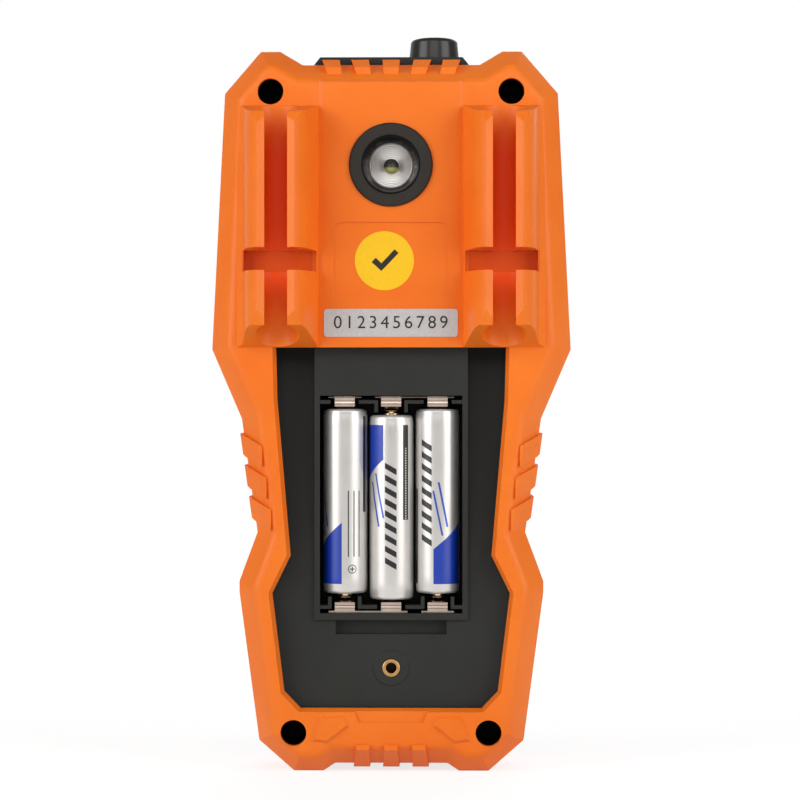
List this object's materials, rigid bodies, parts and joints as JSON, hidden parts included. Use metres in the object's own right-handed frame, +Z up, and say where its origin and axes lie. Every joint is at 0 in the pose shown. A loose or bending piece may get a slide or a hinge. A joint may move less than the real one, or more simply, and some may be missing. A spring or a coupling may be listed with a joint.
{
  "type": "digital multimeter",
  "caption": "Rugged handheld digital multimeter with its battery cover off: probe clips and torch on the back, cells in their bay, display, keys and range knob in front.",
  "frame": {"origin": "middle of the footprint, on the ground under the feet", "axes": "+Z up along the meter, -Y out of the back with the probe clips, +Y out of the display, +X to the right seen from the back"},
  "size_m": [0.0844, 0.046, 0.1732],
  "materials": {
    "black_moulding": "black moulding",
    "board": "solder mask",
    "brass": "turned",
    "carrier": "natural moulding",
    "cell": "printed foil jacket",
    "ceramic": "ceramic tube with plated ends",
    "component": "moulded package",
    "copper": "enamelled wire",
    "dark_moulding": "fine-textured dark grey moulding",
    "display": "display glass",
    "emitter": "phosphor under clear dome",
    "ferrite": "sintered",
    "housing": "satin orange moulding",
    "jack_bush": "moulded",
    "key": "soft grey rubber",
    "knob": "satin dark grey",
    "lens": "clear window",
    "light_guide": "white",
    "reflector": "vacuum plated",
    "screw_steel": "zinc plated",
    "sensor_rubber": "dark grey, slightly shiny",
    "spring_steel": "stamped and plated",
    "white_mark": "white inlay",
    "zebra": "banded rubber"
  },
  "bodies": {
    "housing": {"antenna_coil": "copper", "antenna_core": "ferrite", "backlight": "light_guide", "battery_tray": "dark_moulding", "board_screws": "screw_steel", "buzzer": "component", "case_screws": "screw_steel", "circuit_board": "board", "contact_foot_pair": "spring_steel", "contact_foot_single": "spring_steel", "contact_top_pair": "spring_steel", "contact_top_single": "spring_steel", "display_frame": "dark_moulding", "display_glass": "display", "display_lens": "lens", "face_plate": "dark_moulding", "front_shell": "housing", "fuse": "ceramic", "fuse_clips": "spring_steel", "head_cap": "dark_moulding", "jack_1": "brass", "jack_2": "brass", "jack_3": "brass", "jack_4": "brass", "jack_bush_1": "jack_bush", "jack_bush_2": "jack_bush", "jack_bush_3": "jack_bush", "jack_bush_4": "jack_bush", "key_switches": "component", "measuring_chip": "component", "probe_clip_left": "housing", "probe_clip_right": "housing", "rear_shell": "housing", "screw_sleeves": "black_moulding", "sensor_tip": "sensor_rubber", "small_fuse": "ceramic", "threaded_insert": "brass", "torch_bezel": "dark_moulding", "torch_board": "board", "torch_emitter": "emitter", "torch_pins": "brass", "torch_reflector": "reflector", "zebra_strips": "zebra"},
    "range_switch": {"range_knob": "knob", "knob_pointer": "white_mark", "contact_carrier": "carrier", "detent_balls": "screw_steel", "wipers": "brass"},
    "key_1_body": {"key_1": "key"},
    "key_2_body": {"key_2": "key"},
    "key_3_body": {"key_3": "key"},
    "key_4_body": {"key_4": "key"},
    "round_key_1_body": {"round_key_1": "key"},
    "round_key_2_body": {"round_key_2": "key"},
    "cell_left_body": {"cell_left": "cell"},
    "cell_middle_body": {"cell_middle": "cell"},
    "cell_right_body": {"cell_right": "cell"}
  },
  "joints": [
    {"name": "knob_turn", "type": "hinge", "parent": "housing", "child": "range_switch", "pos_m": [0, 0, 0.0635], "axis": [0, 1, 0], "continuous": true},
    {"name": "key_1_press", "type": "slide", "parent": "housing", "child": "key_1_body", "axis": [0, -1, 0], "range_m": [0, 0.0008], "stiffness_N_per_m": 600, "springref_m": -0.0005},
    {"name": "key_2_press", "type": "slide", "parent": "housing", "child": "key_2_body", "axis": [0, -1, 0], "range_m": [0, 0.0008], "stiffness_N_per_m": 600, "springref_m": -0.0005},
    {"name": "key_3_press", "type": "slide", "parent": "housing", "child": "key_3_body", "axis": [0, -1, 0], "range_m": [0, 0.0008], "stiffness_N_per_m": 600, "springref_m": -0.0005},
    {"name": "key_4_press", "type": "slide", "parent": "housing", "child": "key_4_body", "axis": [0, -1, 0], "range_m": [0, 0.0008], "stiffness_N_per_m": 600, "springref_m": -0.0005},
    {"name": "round_key_1_press", "type": "slide", "parent": "housing", "child": "round_key_1_body", "axis": [0, -1, 0], "range_m": [0, 0.0008], "stiffness_N_per_m": 600, "springref_m": -0.0005},
    {"name": "round_key_2_press", "type": "slide", "parent": "housing", "child": "round_key_2_body", "axis": [0, -1, 0], "range_m": [0, 0.0008], "stiffness_N_per_m": 600, "springref_m": -0.0005},
    {"name": "cell_left_lift", "type": "slide", "parent": "housing", "child": "cell_left_body", "axis": [0, -1, 0], "range_m": [0, 0.026]},
    {"name": "cell_middle_lift", "type": "slide", "parent": "housing", "child": "cell_middle_body", "axis": [0, -1, 0], "range_m": [0, 0.026]},
    {"name": "cell_right_lift", "type": "slide", "parent": "housing", "child": "cell_right_body", "axis": [0, -1, 0], "range_m": [0, 0.026]}
  ]
}
